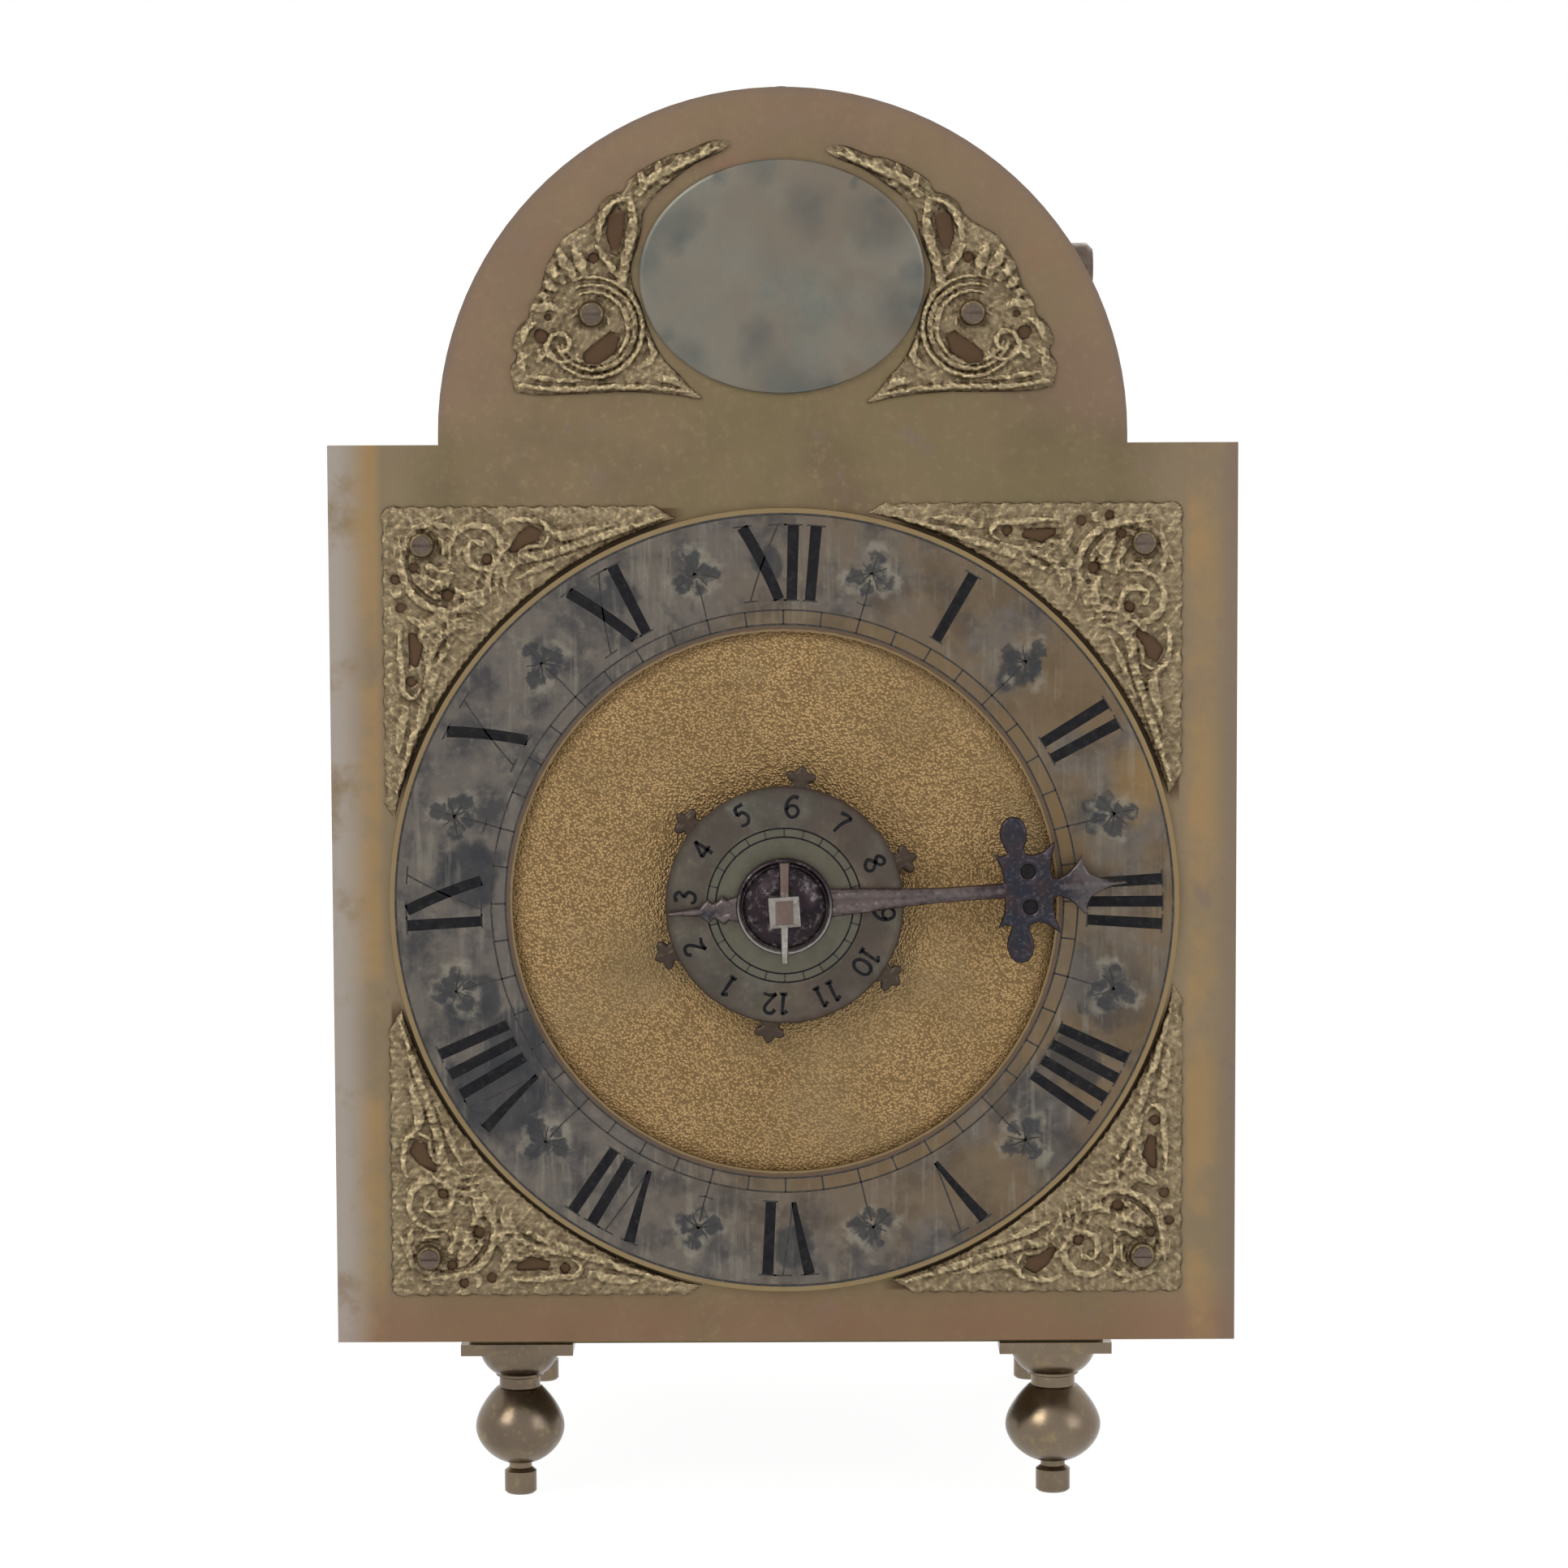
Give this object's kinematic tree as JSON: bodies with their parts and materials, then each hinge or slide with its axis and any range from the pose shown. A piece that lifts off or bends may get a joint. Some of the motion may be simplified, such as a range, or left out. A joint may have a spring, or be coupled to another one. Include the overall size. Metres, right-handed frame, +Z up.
{
  "type": "lantern clock",
  "caption": "Arched-dial brass lantern alarm clock with a posted movement, verge escapement and bob pendulum, a hand, an alarm disc, a top bell, side doors and a hanging hoop",
  "frame": {"origin": "On the floor below the middle of the posted frame, level with the tips of the four feet.", "axes": "Z is up. The dial faces -Y and the wall is at +Y. X is to the right of a person who faces the dial."},
  "size_m": [0.165, 0.1705, 0.2631],
  "materials": {
    "brass_plate": "old hammered brass sheet, browned and stained",
    "dial_brass": "old brass disc with worn silvering",
    "silvered_brass": "brass with worn chemical silvering",
    "cast_brass": "cast and chased brass, bright on the high parts",
    "turned_brass": "turned brass, dulled by age",
    "wheel_brass": "cut wheel brass",
    "bell_metal": "cast bell metal, turned outside",
    "steel": "filed steel",
    "hand_steel": "dark blued steel, browned with age",
    "iron": "forged iron, dark and slightly rusty"
  },
  "bodies": {
    "frame": {"dial_plate": "brass_plate", "chapter_ring": "silvered_brass", "name_cartouche": "silvered_brass", "spandrel_top_left": "cast_brass", "spandrel_top_right": "cast_brass", "spandrel_bottom_left": "cast_brass", "spandrel_bottom_right": "cast_brass", "arch_spandrel_left": "cast_brass", "arch_spandrel_right": "cast_brass", "spandrel_screws": "steel", "dial_feet": "brass_plate", "dial_pins": "steel", "top_plate": "brass_plate", "bottom_plate": "brass_plate", "front_pillars": "turned_brass", "rear_pillars": "turned_brass", "front_feet": "turned_brass", "rear_feet": "turned_brass", "finials": "turned_brass", "front_bar": "iron", "middle_bar": "iron", "back_plate": "iron", "back_plate_screws": "iron", "hanging_hoop": "iron", "spurs": "iron", "bell": "bell_metal", "bell_straps": "iron", "bell_bolt": "iron", "crown_potence": "turned_brass", "crown_bridge": "turned_brass", "verge_cock_front": "turned_brass", "verge_cock_rear": "turned_brass", "alarm_stud": "iron", "alarm_cock": "iron"},
    "great_train": {"great_wheel": "wheel_brass", "great_arbor": "steel"},
    "rope_pulley": {"rope_pulley": "turned_brass"},
    "click": {"click": "steel"},
    "contrate": {"contrate_wheel": "wheel_brass", "contrate_arbor": "steel"},
    "crown": {"crown_wheel": "wheel_brass", "crown_arbor": "steel"},
    "pendulum": {"verge": "steel", "pendulum_rod": "steel"},
    "bob": {"pendulum_bob": "turned_brass"},
    "hour_wheel": {"hour_wheel": "wheel_brass"},
    "hand": {"hour_arbor": "hand_steel", "friction_spring": "wheel_brass", "hour_hand": "hand_steel", "hand_pin": "steel"},
    "alarm_disc": {"alarm_disc": "dial_brass"},
    "alarm_wheel": {"alarm_wheel": "wheel_brass", "alarm_pulley": "turned_brass"},
    "alarm_hammer": {"alarm_verge": "steel", "alarm_hammer": "iron"},
    "alarm_lever": {"alarm_lever": "iron"},
    "door_left": {"door_left": "brass_plate"},
    "door_right": {"door_right": "brass_plate"}
  },
  "joints": [
    {"name": "great_wheel_turn", "type": "hinge", "parent": "frame", "child": "great_train", "pos_m": [0, -0.043, 0.08465], "axis": [0, 1, 0], "continuous": true},
    {"name": "rope_wind", "type": "hinge", "parent": "great_train", "child": "rope_pulley", "pos_m": [0, -0.032, 0.08465], "axis": [0, 1, 0], "continuous": true},
    {"name": "click_lift", "type": "hinge", "parent": "great_train", "child": "click", "pos_m": [0.0175, -0.0402, 0.08465], "axis": [0, 1, 0], "range_deg": [0, 12], "stiffness_Nm_per_rad": 0.0002},
    {"name": "contrate_turn", "type": "hinge", "parent": "frame", "child": "contrate", "pos_m": [0, -0.0172, 0.11975], "axis": [0, 1, 0], "continuous": true},
    {"name": "crown_turn", "type": "hinge", "parent": "frame", "child": "crown", "pos_m": [0, -0.0133, 0.16], "axis": [0, 0, 1], "continuous": true},
    {"name": "pendulum_swing", "type": "hinge", "parent": "frame", "child": "pendulum", "pos_m": [0, 0.0705, 0.1878], "axis": [0, 1, 0], "range_deg": [-12, 12]},
    {"name": "bob_regulate", "type": "slide", "parent": "pendulum", "child": "bob", "axis": [0, 0, 1], "range_m": [-0.005, 0.005]},
    {"name": "hour_wheel_turn", "type": "hinge", "parent": "frame", "child": "hour_wheel", "pos_m": [0, -0.058, 0.1139], "axis": [0, 1, 0], "continuous": true},
    {"name": "hand_set", "type": "hinge", "parent": "hour_wheel", "child": "hand", "pos_m": [0, -0.0748, 0.1139], "axis": [0, 1, 0], "continuous": true},
    {"name": "alarm_set", "type": "hinge", "parent": "hand", "child": "alarm_disc", "pos_m": [0, -0.0727, 0.1139], "axis": [0, 1, 0], "continuous": true},
    {"name": "alarm_wheel_turn", "type": "hinge", "parent": "frame", "child": "alarm_wheel", "pos_m": [0.027, 0.0332, 0.128], "axis": [0, 1, 0], "continuous": true},
    {"name": "hammer_swing", "type": "hinge", "parent": "frame", "child": "alarm_hammer", "pos_m": [0.027, 0.0245, 0.198], "axis": [0, 0, 1], "range_deg": [-5, 12]},
    {"name": "lever_lift", "type": "hinge", "parent": "frame", "child": "alarm_lever", "pos_m": [0.009, -0.005, 0.15], "axis": [0, -1, 0], "range_deg": [0, 10]},
    {"name": "door_left", "type": "hinge", "parent": "frame", "child": "door_left", "pos_m": [-0.057, 0.0548, 0.1], "axis": [0, 0, -1], "range_deg": [0, 115]},
    {"name": "door_right", "type": "hinge", "parent": "frame", "child": "door_right", "pos_m": [0.057, 0.0548, 0.1], "axis": [0, 0, 1], "range_deg": [0, 115]}
  ],
  "couplings": [
    {"joint": "contrate_turn", "follows": "great_wheel_turn", "ratio": -12},
    {"joint": "crown_turn", "follows": "great_wheel_turn", "ratio": -144},
    {"joint": "hour_wheel_turn", "follows": "great_wheel_turn", "ratio": -0.083333}
  ]
}
